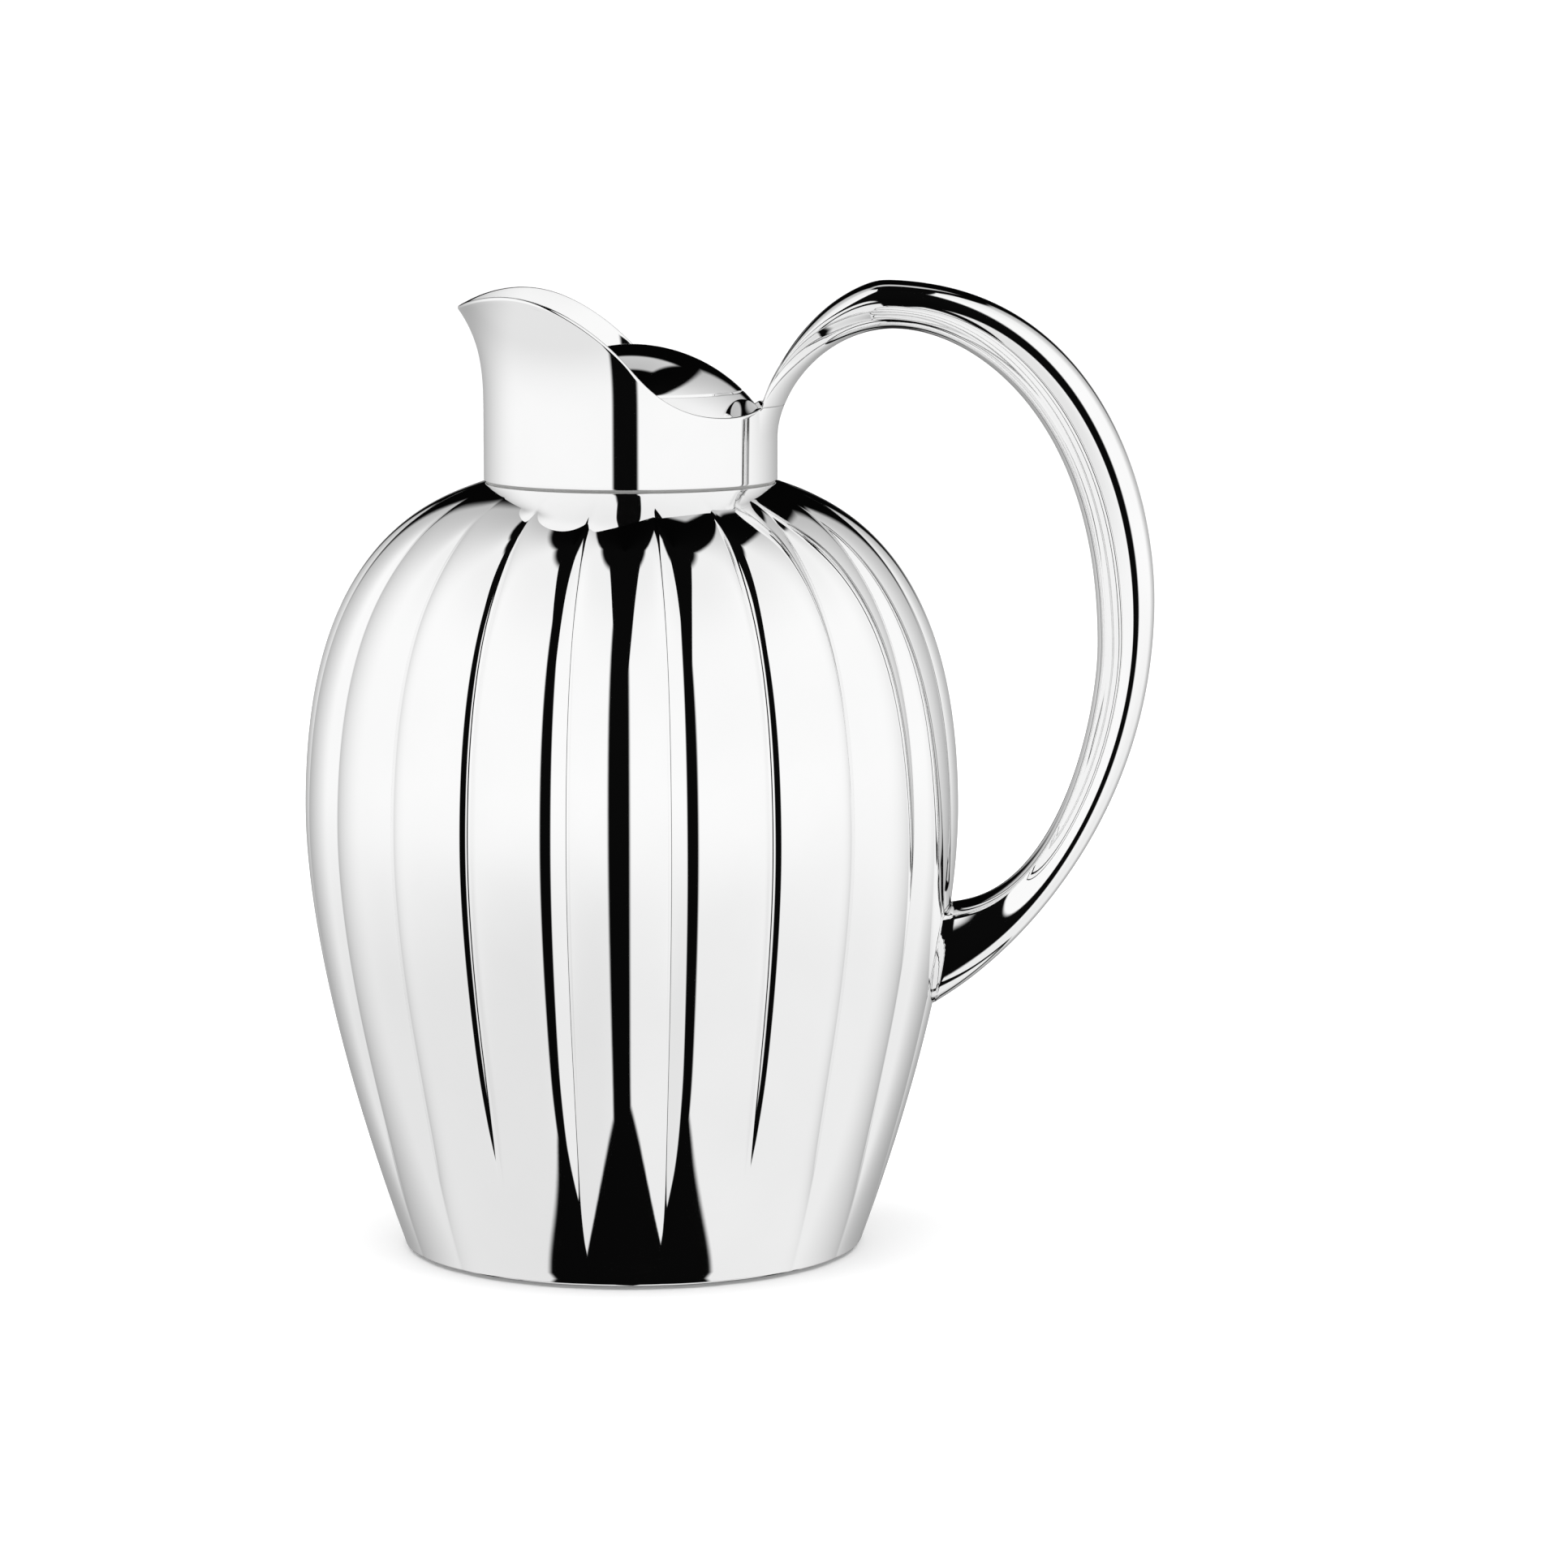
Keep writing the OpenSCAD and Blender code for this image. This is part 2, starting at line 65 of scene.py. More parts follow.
LIP = [[[-40.6, 223], [-37, 224.9], [-33, 226], [-28, 226]],
       [[-28, 226], [-15.4, 226], [-3.3, 215.4], [0.6, 210.9]],
       [[0.6, 210.9], [4.5, 206.4], [11, 198.4], [24, 198.4]],
       [[24, 198.4], [27, 198.4], [30, 199.2], [31, 200]]]
ROOT_X = (COLLAR_R ** 2 - ROOT_HALF ** 2) ** 0.5
ROOT_ANGLE = np.degrees(np.arcsin(ROOT_HALF / COLLAR_R))
LOOP_OUTER = [[[ROOT_X, 200], [33.6, 216.6], [51.8, 229.3], [60, 229.3]],
              [[60, 229.3], [106.6, 229.3], [123.5, 184.8], [123.5, 152.8]],
              [[123.5, 152.8], [123.5, 101.8], [89.9, 68.4], [71.7, 57.8]]]
LOOP_INNER = [[[COLLAR_R + ROOT_SWELL, 200], [39.5, 208.5], [49, 217.9], [62.1, 217.9]],
              [[62.1, 217.9], [80.3, 217.9], [110.2, 197.1], [110.2, 143.9]],
              [[110.2, 143.9], [110.2, 125.9], [101.2, 82.4], [75.8, 81.7]]]

# The handle's section on the way from its root, at 0, to its foot, at 3: half the width, where the
# crease is as a share of the depth, how far the outer face is hollowed, the exponents of the outer
# and inner faces, the width at the crease as a share of the full width, and the flank's exponent
LOOP_HALF = [[0, 16], [.15, 13], [.3, 11.2], [.6, 9.8], [1, 9.5], [3, 9]]
LOOP_CREASE = [[0, .9], [.15, .65], [.3, .46], [.6, .3], [1, .21], [2, .13], [3, .12]]
LOOP_HOLLOW = [[0, 2.7], [.15, 1.8], [.3, 1], [.6, .2], [1, 0], [3, 0]]
LOOP_SQUARE = [[0, .35], [.3, .5], [.6, .8], [1, 1], [3, 1]]
LOOP_POINT = [[0, 2], [.3, 1.5], [.6, 1.1], [1, 1], [3, 1]]
LOOP_WAIST = [[0, 1], [.15, .9], [.3, .75], [.6, .6], [1, .55], [2.3, .55], [2.7, .8], [3, 1]]
LOOP_FLAT = [[0, 2], [.3, 2.5], [.6, 5], [1, 12], [2.6, 12], [3, 6]]
DOME_Z, DOME_R, BUTTON_R = 176.6, 37.55, 26.2


def cubic(p, t):
    p, t = np.asarray(p, float), np.asarray(t, float)[:, None]
    return (1 - t) ** 3 * p[0] + 3 * (1 - t) ** 2 * t * p[1] + 3 * (1 - t) * t * t * p[2] + t ** 3 * p[3]


def chain(curves, n):
    t = np.linspace(0, 1, n, endpoint=False)
    return np.vstack([cubic(c, t) for c in curves] + [np.array([curves[-1][3]], float)])


def smooth(values, sigma):
    """Gaussian smoothing down the rows. Mirroring through both ends keeps them in place."""
    n = int(3 * sigma) + 1
    kernel = np.exp(-0.5 * (np.arange(-n, n + 1) / sigma) ** 2)
    v = np.asarray(values, float)
    v = np.concatenate([2 * v[0] - v[n:0:-1], v, 2 * v[-1] - v[-2:-n - 2:-1]])
    return np.stack([np.convolve(c, kernel / kernel.sum(), "valid") for c in v.T], 1)


def soft_table(table, sigma, n=601):
    """A lookup like the part's, with its corners rounded off."""
    x, y = np.array(table, float).T
    at = np.linspace(x[0], x[-1], n)
    rows = smooth(np.interp(at, x, y)[:, None], sigma * (n - 1) / (x[-1] - x[0]))[:, 0]
    return lambda v: np.interp(v, at, rows)


def evenly(points, n):
    """n + 1 points at equal steps along a line."""
    run = np.concatenate([[0], np.cumsum(np.linalg.norm(np.diff(points, axis=0), axis=1))])
    at = np.linspace(0, run[-1], n + 1)
    return np.stack([np.interp(at, run, c) for c in points.T], 1)


# ---- Meshes ----

def grid_faces(rows, n, closed=False):
    """Quads between rings of n points each. closed joins the last ring to the first."""
    i, j = np.meshgrid(np.arange(n), np.arange(rows if closed else rows - 1))
    k, m = (j + 1) % rows, (i + 1) % n
    return np.stack([j * n + i, j * n + m, k * n + m, k * n + i], -1).reshape(-1, 4)


def make(name, points, quads, fans=()):
    """A smooth mesh in millimetres. Its normals follow the large faces, so fillets stay crisp."""
    points = np.asarray(points, float) * MM
    mesh = bpy.data.meshes.new(name)
    faces = [[int(i) for i in f] for f in [*quads, *fans]]
    mesh.from_pydata(points.tolist(), [], faces)
    mesh.validate()
    mesh.polygons.foreach_set("use_smooth", [True] * len(mesh.polygons))
    normals = np.zeros_like(points)
    q = points[np.asarray(quads)]
    area = np.cross(q[:, 2] - q[:, 0], q[:, 3] - q[:, 1])
    for c in range(4):
        np.add.at(normals, np.asarray(quads)[:, c], area)
    for f in fans:
        t = points[list(f)]
        normals[list(f)] += np.cross(t[1] - t[0], t[2] - t[0])
    length = np.linalg.norm(normals, axis=1, keepdims=True)
    normals /= np.maximum(length, 1e-20)
    mesh.normals_split_custom_set_from_vertices(normals.tolist())
    mesh.update()
    obj = bpy.data.objects.new(name, mesh)
    bpy.context.scene.collection.objects.link(obj)
    return obj


def rounded(points, steps=5):
    """A line through (x, y, radius) corners, with each corner turned by an arc of that radius."""
    out = []
    for i, (x, y, r) in enumerate(points):
        p = np.array([x, y], float)
        if not r:
            out.append(p)
            continue
        a = np.array(points[i - 1][:2], float) - p
        b = np.array(points[(i + 1) % len(points)][:2], float) - p
        la, lb = np.linalg.norm(a), np.linalg.norm(b)
        a, b = a / la, b / lb
        half = np.arccos(np.clip(a @ b, -1, 1)) / 2
        back = min(r / np.tan(half), la * 0.49, lb * 0.49)
        s, e, mid = p + a * back, p + b * back, a + b
        centre = p + mid / np.linalg.norm(mid) * back / np.cos(half)
        for t in np.linspace(0, 1, steps):
            v = (s - centre) * (1 - t) + (e - centre) * t
            out.append(centre + v / np.linalg.norm(v) * np.linalg.norm(s - centre))
    return np.array(out)


def turned(name, profile, around=256):
    """A closed profile of (radius, height) turned about the jug's axis."""
    a = np.radians(np.arange(around) * 360 / around)
    on_axis = profile[:, 0] < 1e-6
    if not on_axis.any():
        rings = np.stack([profile[:, :1] * np.cos(a), profile[:, :1] * np.sin(a),
                          np.repeat(profile[:, 1:], around, 1)], -1)
        return make(name, rings.reshape(-1, 3), grid_faces(len(profile), around, closed=True))
    first, last = profile[0], profile[-1]
    body = profile[1:-1]
    rings = np.stack([body[:, :1] * np.cos(a), body[:, :1] * np.sin(a),
                      np.repeat(body[:, 1:], around, 1)], -1).reshape(-1, 3)
    n = len(rings)
    points = np.vstack([rings, [[0, 0, first[1]], [0, 0, last[1]]]])
    i = np.arange(around)
    fans = [(n, x, (x + 1) % around) for x in i]
    fans += [(n + 1, n - around + (x + 1) % around, n - around + x) for x in i]
    return make(name, points, grid_faces(len(body), around), fans)


def carry(obj, body, slot, *nodes):
    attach(obj, body)
    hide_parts(*nodes)
    obj.data.materials.append(MATERIALS[slot])
    return obj


# ---- Materials: one procedural finish for each slot ----

def socket(node, name, value):
    node.inputs[name].default_value = value


def finish_material(name, build):
    mat = bpy.data.materials.new(name)
    mat.use_nodes = True
    tree = mat.node_tree
    tree.nodes.clear()
    out = tree.nodes.new("ShaderNodeOutputMaterial")
    bsdf = tree.nodes.new("ShaderNodeBsdfPrincipled")
    tree.links.new(bsdf.outputs["BSDF"], out.inputs["Surface"])
    coords = tree.nodes.new("ShaderNodeTexCoord")
    build(tree, bsdf, coords.outputs["Object"])
    return mat


def noise(tree, vector, scale, detail=3, stretch=None):
    if stretch:
        mapping = tree.nodes.new("ShaderNodeMapping")
        socket(mapping, "Scale", stretch)
        tree.links.new(vector, mapping.inputs["Vector"])
        vector = mapping.outputs["Vector"]
    node = tree.nodes.new("ShaderNodeTexNoise")
    socket(node, "Scale", scale)
    socket(node, "Detail", detail)
    tree.links.new(vector, node.inputs["Vector"])
    return node.outputs["Fac"]


def ramp(tree, value, low, high, start=0.3, end=0.7):
    node = tree.nodes.new("ShaderNodeMapRange")
    for key, v in (("From Min", start), ("From Max", end), ("To Min", low), ("To Max", high)):
        socket(node, key, v)
    tree.links.new(value, node.inputs["Value"])
    return node.outputs["Result"]


def tint(tree, value, dark, light, start=0.3, end=0.7):
    node = tree.nodes.new("ShaderNodeValToRGB")
    node.color_ramp.elements[0].position, node.color_ramp.elements[1].position = start, end
    node.color_ramp.elements[0].color = (*dark, 1)
    node.color_ramp.elements[1].color = (*light, 1)
    tree.links.new(value, node.inputs["Fac"])
    return node.outputs["Color"]


def bump(tree, bsdf, height, strength, distance):
    node = tree.nodes.new("ShaderNodeBump")
    socket(node, "Strength", strength)
    socket(node, "Distance", distance)
    tree.links.new(height, node.inputs["Height"])
    tree.links.new(node.outputs["Normal"], bsdf.inputs["Normal"])


def polished(tree, bsdf, at):
    """Mirror-polished steel: faint cloudy haze from buffing, and a hint of colour variation."""
    socket(bsdf, "Metallic", 1.0)
    tree.links.new(tint(tree, noise(tree, at, 35), (.925, .925, .925), (.95, .95, .95)),
                   bsdf.inputs["Base Color"])
    tree.links.new(ramp(tree, noise(tree, at, 60, 6), .012, .035), bsdf.inputs["Roughness"])


def brushed(tree, bsdf, at):
    socket(bsdf, "Metallic", 1.0)
    tree.links.new(tint(tree, noise(tree, at, 900, 4, (1, 1, 12)), (.58, .58, .575), (.74, .74, .735)),
                   bsdf.inputs["Base Color"])
    tree.links.new(ramp(tree, noise(tree, at, 1400, 3, (1, 1, 14)), .26, .42), bsdf.inputs["Roughness"])
    bump(tree, bsdf, noise(tree, at, 1600, 3, (1, 1, 16)), .25, .0001)


def drawn(tree, bsdf, at):
    """Deep-drawn flask steel: satin, with rings from drawing."""
    socket(bsdf, "Metallic", 1.0)
    tree.links.new(tint(tree, noise(tree, at, 40, 4), (.68, .68, .67), (.78, .78, .77)),
                   bsdf.inputs["Base Color"])
    tree.links.new(ramp(tree, noise(tree, at, 700, 3, (.05, .05, 1)), .16, .28), bsdf.inputs["Roughness"])
    bump(tree, bsdf, noise(tree, at, 900, 2, (.05, .05, 1)), .1, .0001)


def getter(tree, bsdf, at):
    socket(bsdf, "Metallic", 1.0)
    tree.links.new(tint(tree, noise(tree, at, 250, 4), (.6, .59, .57), (.72, .71, .69)),
                   bsdf.inputs["Base Color"])
    tree.links.new(ramp(tree, noise(tree, at, 900, 3), .3, .5), bsdf.inputs["Roughness"])


def moulded(dark, light, rough, grain=2200):
    def build(tree, bsdf, at):
        tree.links.new(tint(tree, noise(tree, at, 55, 4), dark, light), bsdf.inputs["Base Color"])
        tree.links.new(ramp(tree, noise(tree, at, 400, 4), rough - .06, rough + .08),
                       bsdf.inputs["Roughness"])
        bump(tree, bsdf, noise(tree, at, grain, 3), .25, .00008)
    return build


MATERIALS = {
    "polished_steel": finish_material("polished_steel", polished),
    "flask_steel": finish_material("flask_steel", drawn),
    "brushed_steel": finish_material("brushed_steel", brushed),
    "getter_metal": finish_material("getter_metal", getter),
    "dark_plastic": finish_material("dark_plastic", moulded((.012, .012, .013), (.02, .02, .021), .42)),
    "silicone": finish_material("silicone", moulded((.42, .42, .41), (.5, .5, .49), .55, 3000)),
    "rubber": finish_material("rubber", moulded((.014, .014, .014), (.025, .025, .025), .7, 3500)),
}

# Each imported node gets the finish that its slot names
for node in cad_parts.values():
    for i, cad_slot in enumerate(node.material_slots):
        key = cad_slot.material.name.split(".")[0]
        node.material_slots[i].material = MATERIALS[key]

# ---- Fluted body ----

crest = evenly(smooth(chain(CREST, 400), 24), 720)
fade = soft_table(FADE, 4)
HALF = 180 / FLUTES           # half the angle of a lobe
GROOVE = 0.5                  # half the width of the fillet between two lobes
CURVED, STEEP = 0.56, 0.44    # shares of a lobe's drop: spread over the lobe, and near its edges


def lobe(w):
    """Share of the drop at a share of the half width: flat in the middle, steep at the groove."""
    return CURVED * w ** 2 + STEEP * w ** 6


def depth_at(p, z):
    return FLUTE_DEPTH * p / BODY_R * fade(z)


def flute_ring(p, z):
    """One level of lobes, with the groove between two lobes turned in a small fillet."""
    deep = depth_at(p, z)
    edge = GROOVE / p / np.radians(HALF)
    spread = np.sin(np.linspace(-np.pi / 2, np.pi / 2, 23)) * (1 - edge)
    off = np.concatenate([[-1, -1 + edge / 2], spread, [1 - edge / 2]])
    w = np.minimum(np.abs(off), 1 - edge)
    u = np.clip((1 - np.abs(off)) / edge, 0, 1)
    slope = 2 * CURVED * (1 - edge) + 6 * STEEP * (1 - edge) ** 5
    turn_in = edge * slope * (1 - u * u) / 2
    r = np.tile(p - deep * (lobe(w) + turn_in), FLUTES)
    a = np.radians(np.concatenate([off * HALF + 2 * HALF * i for i in range(FLUTES)]))
    return np.stack([r * np.cos(a), r * np.sin(a), np.full(len(a), z)], 1)


def body_rings():
    """Rings round a closed line: the foot, up the outside, over the neck and down the inside."""
    outer = [p for p in evenly(crest, 130) if p[1] > LIP_Z + 0.9]
    foot = rounded([(FOOT_R - 4, LIP_Z, 0), (FOOT_R + 0.05, LIP_Z, 0.8), (outer[0][0], outer[0][1], 0)])
    neck = rounded([(COLLAR_R + .5, 181.87, 0), (COLLAR_R - .3, SHOULDER_Z, 0.3),
                    (NECK_R, SHOULDER_Z, 0.2), (NECK_R, SHOULDER_Z - BODY_WALL, 0.2),
                    (NECK_R + 5, SHOULDER_Z - BODY_WALL - 0.15, 0)])
    inner = evenly(crest, 44)[::-1]
    slope = np.gradient(inner, axis=0)
    slope /= np.linalg.norm(slope, axis=1)[:, None]
    inner = np.stack([inner[:, 0] + slope[:, 1] * BODY_WALL, inner[:, 1] - slope[:, 0] * BODY_WALL], 1)
    inner = [p for p in inner if 4.5 < p[1] < 180.5]
    roll = rounded([(inner[-1][0], inner[-1][1], 0), (FOOT_R - BODY_WALL, LIP_Z + BODY_WALL, 0.5),
                    (FOOT_R - 4, LIP_Z + BODY_WALL, 0.2), (FOOT_R - 4, LIP_Z, 0.2)])
    line = [*foot[1:-1], *[p for p in outer if p[1] < 181.8], *neck[1:-1], *inner, *roll[1:]]
    return np.concatenate([flute_ring(r, z) for r, z in line]), len(line)


points, rows = body_rings()
around = len(points) // rows
body = make("fluted_body", points, grid_faces(rows, around, closed=True))
carry(body, "jug", "polished_steel", "body_shell")

# ---- Collar with its lip ----

lip_line = smooth(chain(LIP, 300), 12)


def collar_radius(a, z):
    """Radius at an angle and height, and how far the handle's root swells out from it."""
    away = np.minimum(a, 360 - a)
    flare = LIP_FLARE * (np.maximum(0, z - FLARE_Z) / FLARE_RISE) ** 3 * np.sin(np.radians(a / 2)) ** 2
    side = np.clip(away / ROOT_ANGLE, 0, 1)
    swell = ROOT_SWELL * (np.maximum(0, z - SWELL_Z) / SWELL_RISE) ** 2 * (1 - side ** 2)
    return COLLAR_R + flare, swell


def collar_rings(around=480, rows=70):
    a = np.arange(around) * 360 / around
    z = np.full(around, 212.0)
    for _ in range(20):
        z = np.interp(sum(collar_radius(a, z)) * np.cos(np.radians(a)), lip_line[:, 0], lip_line[:, 1])
    away = np.minimum(a, 360 - a)
    soft = np.clip((away - ROOT_ANGLE) / 4, 0.08, 1)      # the rim's rounding stops under the handle
    half = COLLAR_WALL / 2
    rim = z - half * soft
    rings = []

    def ring(r, h):
        rings.append(np.stack([r * np.cos(np.radians(a)), r * np.sin(np.radians(a)), h], 1))

    for d, h in ((0.25, 0.0), (0.13, 0.03), (0.03, 0.13)):
        ring(COLLAR_R - d + 0 * a, COLLAR_Z + h + 0 * a)
    levels = [COLLAR_Z + 0.25 + (rim - COLLAR_Z - 0.25) * t for t in np.linspace(0, 1, rows)]
    for h in levels:
        base, swell = collar_radius(a, h)
        ring(base + swell, h)
    base, swell = collar_radius(a, rim)
    lean = (collar_radius(a, rim + .05)[0] - collar_radius(a, rim - .05)[0]) / .1
    up = np.stack([lean, np.ones(around)], 1) / np.sqrt(1 + lean ** 2)[:, None]
    for f in np.radians(np.linspace(0, 180, 11)[1:-1]):
        across = half * (1 - np.cos(f)) + swell * (1 - np.cos(f)) / 2
        ring(base + swell - across * up[:, 1] + half * soft * np.sin(f) * up[:, 0],
             rim + across * up[:, 0] + half * soft * np.sin(f) * up[:, 1])
    for h in levels[::-1]:
        base, _ = collar_radius(a, h)
        slope = (collar_radius(a, h + .05)[0] - collar_radius(a, h - .05)[0]) / .1
        side = np.sqrt(1 + slope ** 2)
        ring(base - COLLAR_WALL / side, h + COLLAR_WALL * slope / side)
    ring(COLLAR_R - COLLAR_WALL + .1 + 0 * a, COLLAR_Z + 0 * a)
    return np.concatenate(rings), len(rings)


points, rows = collar_rings()
collar = make("collar_with_lip", points, grid_faces(rows, len(points) // rows, closed=True))
carry(collar, "jug", "polished_steel", "collar_spout")

# ---- Handle ----

LOOP_STEPS = 110
outer_line = smooth(chain(LOOP_OUTER, LOOP_STEPS), 5)
inner_line = smooth(chain(LOOP_INNER, LOOP_STEPS), 5)
t_line = np.linspace(0, 3, len(outer_line))
half_at, crease_at, hollow_at, square_at, point_at = (
    soft_table(t, 0.05)(t_line) for t in (LOOP_HALF, LOOP_CREASE, LOOP_HOLLOW, LOOP_SQUARE, LOOP_POINT))
waist_at, flat_at = (soft_table(t, 0.12)(t_line) for t in (LOOP_WAIST, LOOP_FLAT))


def flute_x(y, z):
    p = np.interp(z, crest[:, 1], crest[:, 0])
    r = p - depth_at(p, z) * lobe(np.degrees(np.arcsin(np.abs(y) / p)) / HALF)
    return np.sqrt(r ** 2 - y ** 2)


def handle_ring(j, arc=48):
    """A flat outer face, flanks that lean in towards the crease, and a shallow inner face."""
    outer, inner, w, c = outer_line[j], inner_line[j], half_at[j], crease_at[j]
    deep = np.linalg.norm(outer - inner)
    up = (outer - inner) / deep
    f = np.radians(np.linspace(0, 360, 2 * arc, endpoint=False))
    s = np.sin(f)
    high = c * deep + (1 - c) * deep * np.abs(s) ** square_at[j] - hollow_at[j] * s ** 2
    low = c * deep * (1 - np.abs(s) ** point_at[j])
    h = np.where(f <= np.pi + 1e-9, high, low)
    p = inner + up * h[:, None]
    k, u = waist_at[j], np.abs(s)
    widen = k + (1 - k) * (1 - (1 - np.minimum(u / 0.6, 1)) ** 2)
    flank = widen * np.sqrt(np.maximum(1 - u ** flat_at[j], 0))
    y = np.where(f <= np.pi + 1e-9, np.sign(np.round(np.cos(f), 9)) * flank, k * np.cos(f))
    return np.stack([p[:, 0], w * y, p[:, 1]], 1)


def handle_points():
    """All the handle's sections. The last one follows the body's flutes."""
    rings = [handle_ring(j) for j in range(len(t_line))]
    last = rings[-1]
    last[:, 0] = flute_x(last[:, 1], last[:, 2]) + 0.02      # just clear of the body's skin
    return np.array(rings)


def end_caps(rows, n):
    """Quads across the first and last rings, and the triangles at the two tips of each."""
    strip = []
    for base in (0, (rows - 1) * n):
        for i in range(n // 2):
            quad = [base + i, base + i + 1, base + (n - 1 - i) % n, base + (n - i) % n]
            if base:
                quad.reverse()
            strip.append([q for k, q in enumerate(quad) if q != quad[k - 1]])
    return [q for q in strip if len(q) == 4], [q for q in strip if len(q) == 3]


rings = handle_points()
rows, around = rings.shape[:2]
caps, tips = end_caps(rows, around)
grid = grid_faces(rows, around)[:, ::-1]
handle = make("handle_loop", rings.reshape(-1, 3), np.vstack([grid, caps]), tips)
carry(handle, "jug", "polished_steel", "handle")

# ---- Stopper: domed button and the trim around it ----

INSIDE_R = DOME_R - 1         # the dome's sheet is 1 mm thick
TRIM_R = BUTTON_R + 0.4       # the trim's bore leaves a thin gap around the button


def dome_height(r, x):
    return DOME_Z + (r * r - x * x) ** 0.5


def dome_line(r, x0, x1, n):
    return [(x, dome_height(r, x), 0) for x in np.linspace(x0, x1, n)]


button_profile = rounded([
    *dome_line(DOME_R, 0, BUTTON_R - 0.5, 40), (BUTTON_R, dome_height(DOME_R, BUTTON_R), 0.25),
    (BUTTON_R, dome_height(INSIDE_R, BUTTON_R), 0.2), *dome_line(INSIDE_R, BUTTON_R - 0.5, 0, 24)])
button = turned("button_dome_skin", button_profile[::-1])
carry(button, "button", "polished_steel", "button_dome")

ring_profile = rounded([
    (TRIM_R, dome_height(DOME_R, TRIM_R), 0.25), *dome_line(DOME_R, 27.0, 31.0, 12),
    (31.5, 197.35, 0), (31.9, 197, 0.2), (32, 196.6, 0.2), (31.9, 196.2, 0.2), (31.6, 196, 0.1),
    (30.5, 196, 0.1), *dome_line(INSIDE_R, 30.4, 27.0, 8), (TRIM_R, dome_height(INSIDE_R, TRIM_R), 0.2)])
trim = turned("stopper_trim", ring_profile[::-1])
carry(trim, "stopper", "polished_steel", "stopper_ring")

# ---- Studio ----

# A pale floor that turns up into a wall far behind the jug, in metres
floor_mesh = bpy.data.meshes.new("floor")
half_w, near, far, high, bend = 6.0, -3.0, 2.2, 3.0, 0.8
turn_up = [(far + np.sin(a) * bend, bend - np.cos(a) * bend) for a in np.linspace(0, np.pi / 2, 12)]
side = [(near, 0.0), *turn_up, (far + bend, high)]
floor_mesh.from_pydata([(x, y, z) for y, z in side for x in (-half_w, half_w)], [],
                       [(2 * i, 2 * i + 1, 2 * i + 3, 2 * i + 2) for i in range(len(side) - 1)])
floor_mesh.polygons.foreach_set("use_smooth", [True] * len(floor_mesh.polygons))
floor = bpy.data.objects.new("floor", floor_mesh)
bpy.context.scene.collection.objects.link(floor)
floor.visible_glossy = False


def paper(tree, bsdf, at):
    tree.links.new(tint(tree, noise(tree, at, 3, 2), (.88, .88, .88), (.90, .90, .90)),
                   bsdf.inputs["Base Color"])
    socket(bsdf, "Roughness", 0.9)
    socket(bsdf, "Specular IOR Level", 0.0)


floor_mesh.materials.append(finish_material("paper", paper))

world = bpy.data.worlds.new("studio")
bpy.context.scene.world = world
world.use_nodes = True
sky = world.node_tree
background = sky.nodes["Background"]


def calc(op, *values):
    """A maths node on numbers or other nodes' outputs."""
    node = sky.nodes.new("ShaderNodeMath")
    node.operation = op
    for i, v in enumerate(values):
        if isinstance(v, (int, float)):
            node.inputs[i].default_value = v
        else:
            sky.links.new(v, node.inputs[i])
    return node.outputs["Value"]


def greatest(*values):
    """The greatest of several values."""
    out = values[0]
    for v in values[1:]:
        out = calc("MAXIMUM", out, v)
    return out


def less(a, b):
    return calc("SUBTRACT", a, b)


def times(a, b):
    return calc("MULTIPLY", a, b)


def past(value, edge, width):
    """0 before an edge and 1 past it, with a soft edge of that width."""
    node = sky.nodes.new("ShaderNodeMapRange")
    node.interpolation_type = "SMOOTHSTEP"
    for key, v in (("From Min", edge - width / 2), ("From Max", edge + width / 2)):
        socket(node, key, v)
    sky.links.new(value, node.inputs["Value"])
    return node.outputs["Result"]


def within(value, low, high, width):
    """1 between two edges and 0 outside them, with soft edges of that width."""
    return times(past(value, low, width), less(1.0, past(value, high, width)))


# The studio as directions around the jug. Azimuth is in degrees from the front, positive to the
# right, and height is in degrees above the horizon.
split = sky.nodes.new("ShaderNodeSeparateXYZ")
sky.links.new(sky.nodes.new("ShaderNodeTexCoord").outputs["Generated"], split.inputs["Vector"])
east, north, rise = split.outputs["X"], split.outputs["Y"], split.outputs["Z"]
azimuth = calc("DEGREES", calc("ARCTAN2", east, times(north, -1.0)))
height = calc("DEGREES", calc("ARCSINE", rise))
across = calc("ABSOLUTE", east)
turn = calc("ABSOLUTE", azimuth)
on_right = past(east, 0.0, 0.02)

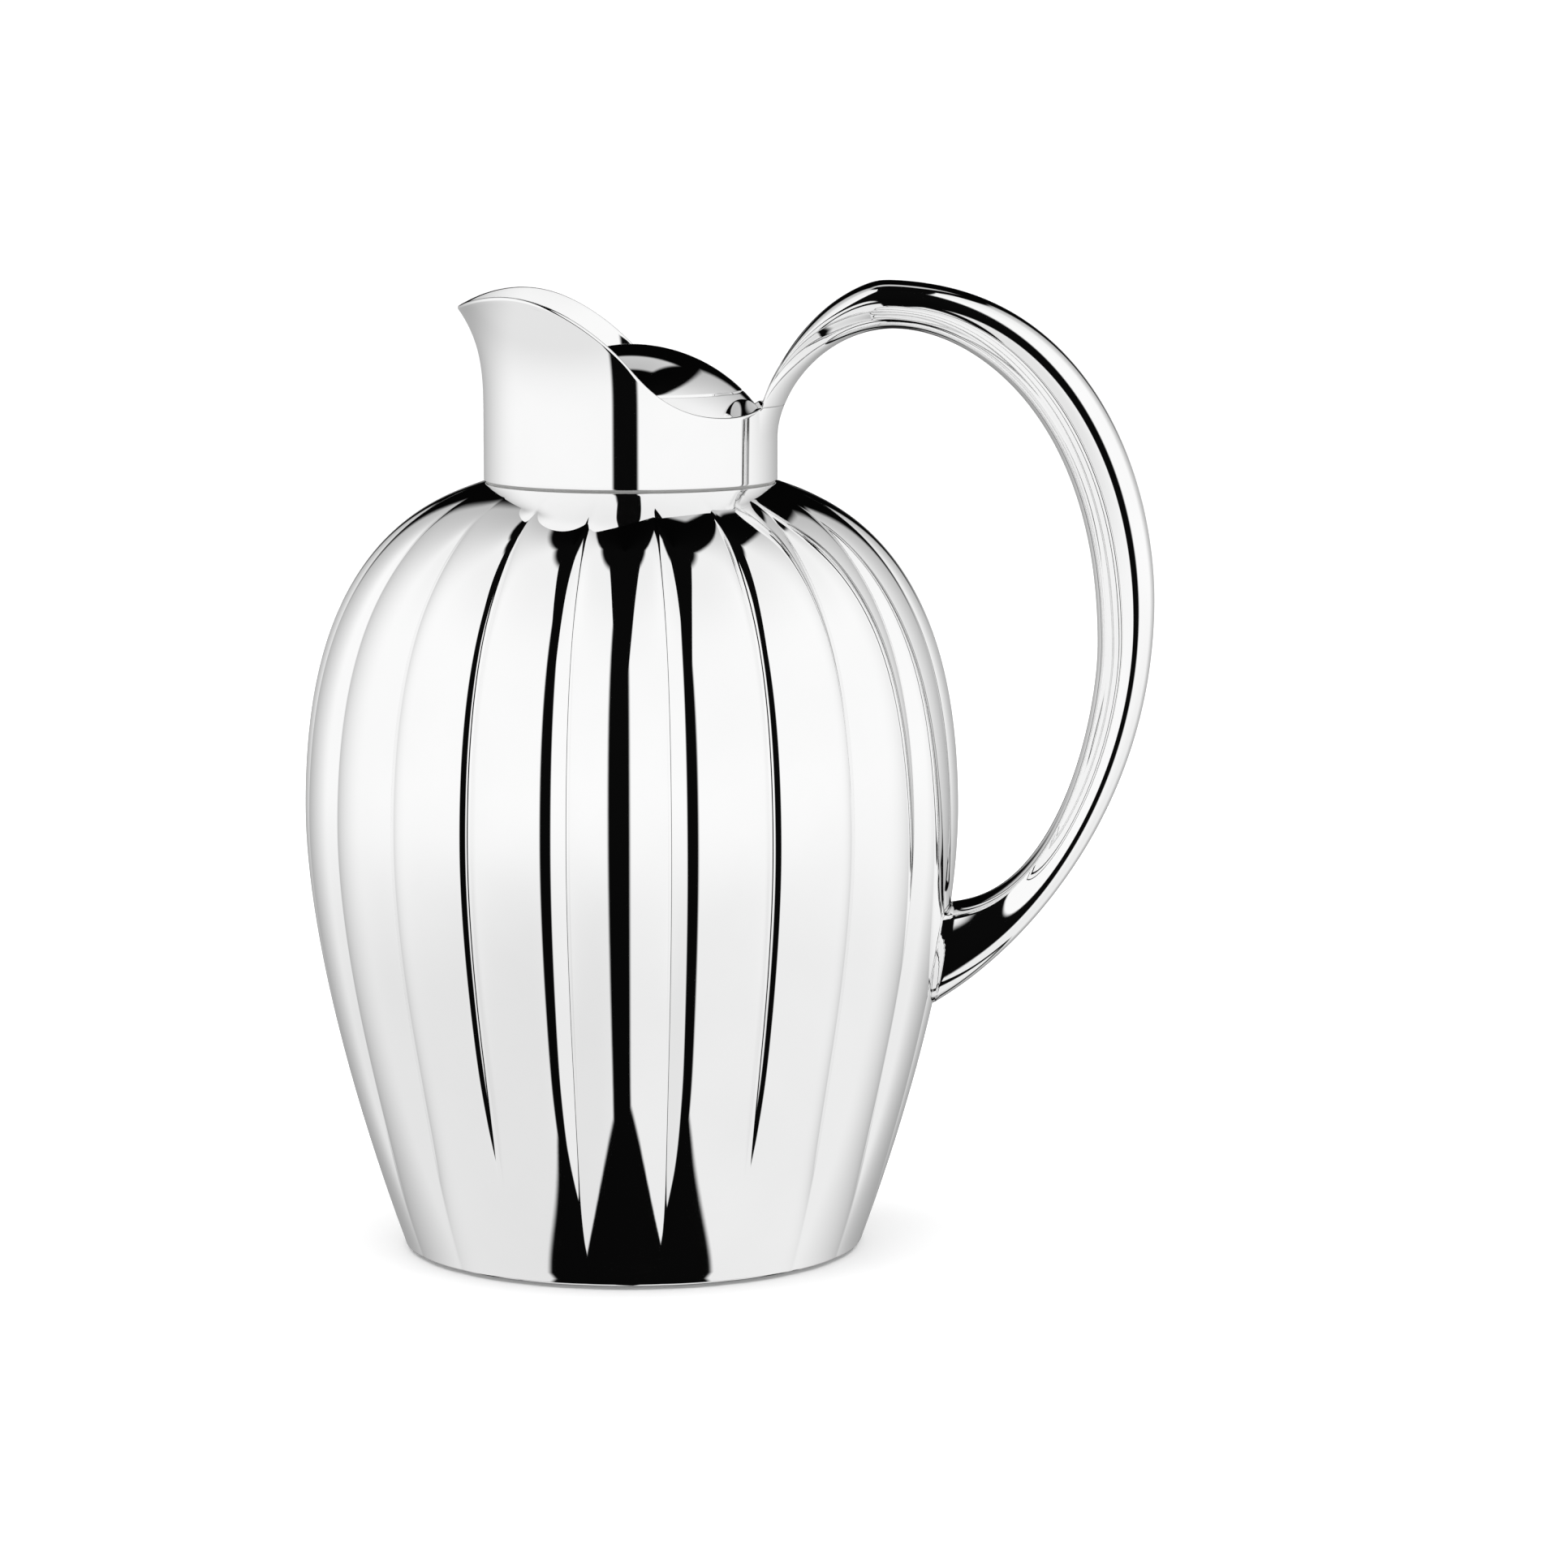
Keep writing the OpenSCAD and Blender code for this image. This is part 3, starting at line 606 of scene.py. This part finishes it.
# Dark areas: the gap between the two front softboxes, the ceiling over their slanted tops, the
# ceiling at the back, the table's edge, and the flags and the rim behind the jug
gap = within(azimuth, -11.6, 8.0, 3.0)
slant = less(5.6, past(east, 0.0, 0.2))
front_top = past(less(rise, times(slant, across)), 0.0, 0.06)
left_top = past(calc("ADD", height, times(turn, 0.3)), 106.0, 4.0)
fall_away = times(90.0, less(1.0, calc("EXPONENT", calc("DIVIDE", less(turn, 180.0), 40.0))))
right_top = past(less(height, fall_away), -3.0, 4.0)
back_top = calc("ADD", times(right_top, on_right), times(left_top, less(1.0, on_right)))
ceiling = greatest(front_top, past(height, 75.0, 4.0), times(back_top, past(turn, 90.0, 4.0)))
table_edge = times(past(height, -55.0, 4.0),
                   past(less(times(rise, -1.0), times(across, 0.28)), 0.605, 0.02))
flags = times(past(turn, 161.0, 6.0), within(height, 2.0, 46.0, 6.0))
rim = times(times(past(turn, 174.0, 5.0), within(height, -45.0, 20.0, 6.0)), 0.9)
dark = greatest(gap, ceiling, table_edge, flags, rim)

# Light areas: white all round, weaker towards the back, low down and high up, and a lit strip
# high at the back
side_fall = times(past(turn, 135.0, 80.0), 0.55)
low_side = less(0.2, times(past(east, -0.1, 0.6), 0.07))
low_fall = times(less(1.0, past(height, -14.0, 30.0)), low_side)
high_fall = times(past(height, 48.0, 40.0), 0.09)
white = less(less(1.02, side_fall), calc("ADD", low_fall, high_fall))
strip_light = times(past(turn, 163.0, 4.0), within(height, 42.0, 62.0, 4.0))
level = times(greatest(less(1.0, times(dark, 0.997)), times(strip_light, 1.4)), white)
sky.links.new(level, background.inputs["Color"])
background.inputs["Strength"].default_value = 1.0

# One broad soft light overhead for the floor. The steel shows the studio around it instead.
overhead = bpy.data.objects.new("overhead", bpy.data.lights.new("overhead", "AREA"))
overhead.data.shape = "RECTANGLE"
overhead.data.size, overhead.data.size_y = 3.2, 3.2
overhead.data.energy = 75
overhead.location = (0.0, -0.1, 2.0)
overhead.visible_glossy = False
bpy.context.scene.collection.objects.link(overhead)
bpy.context.scene.view_settings.view_transform = "Standard"
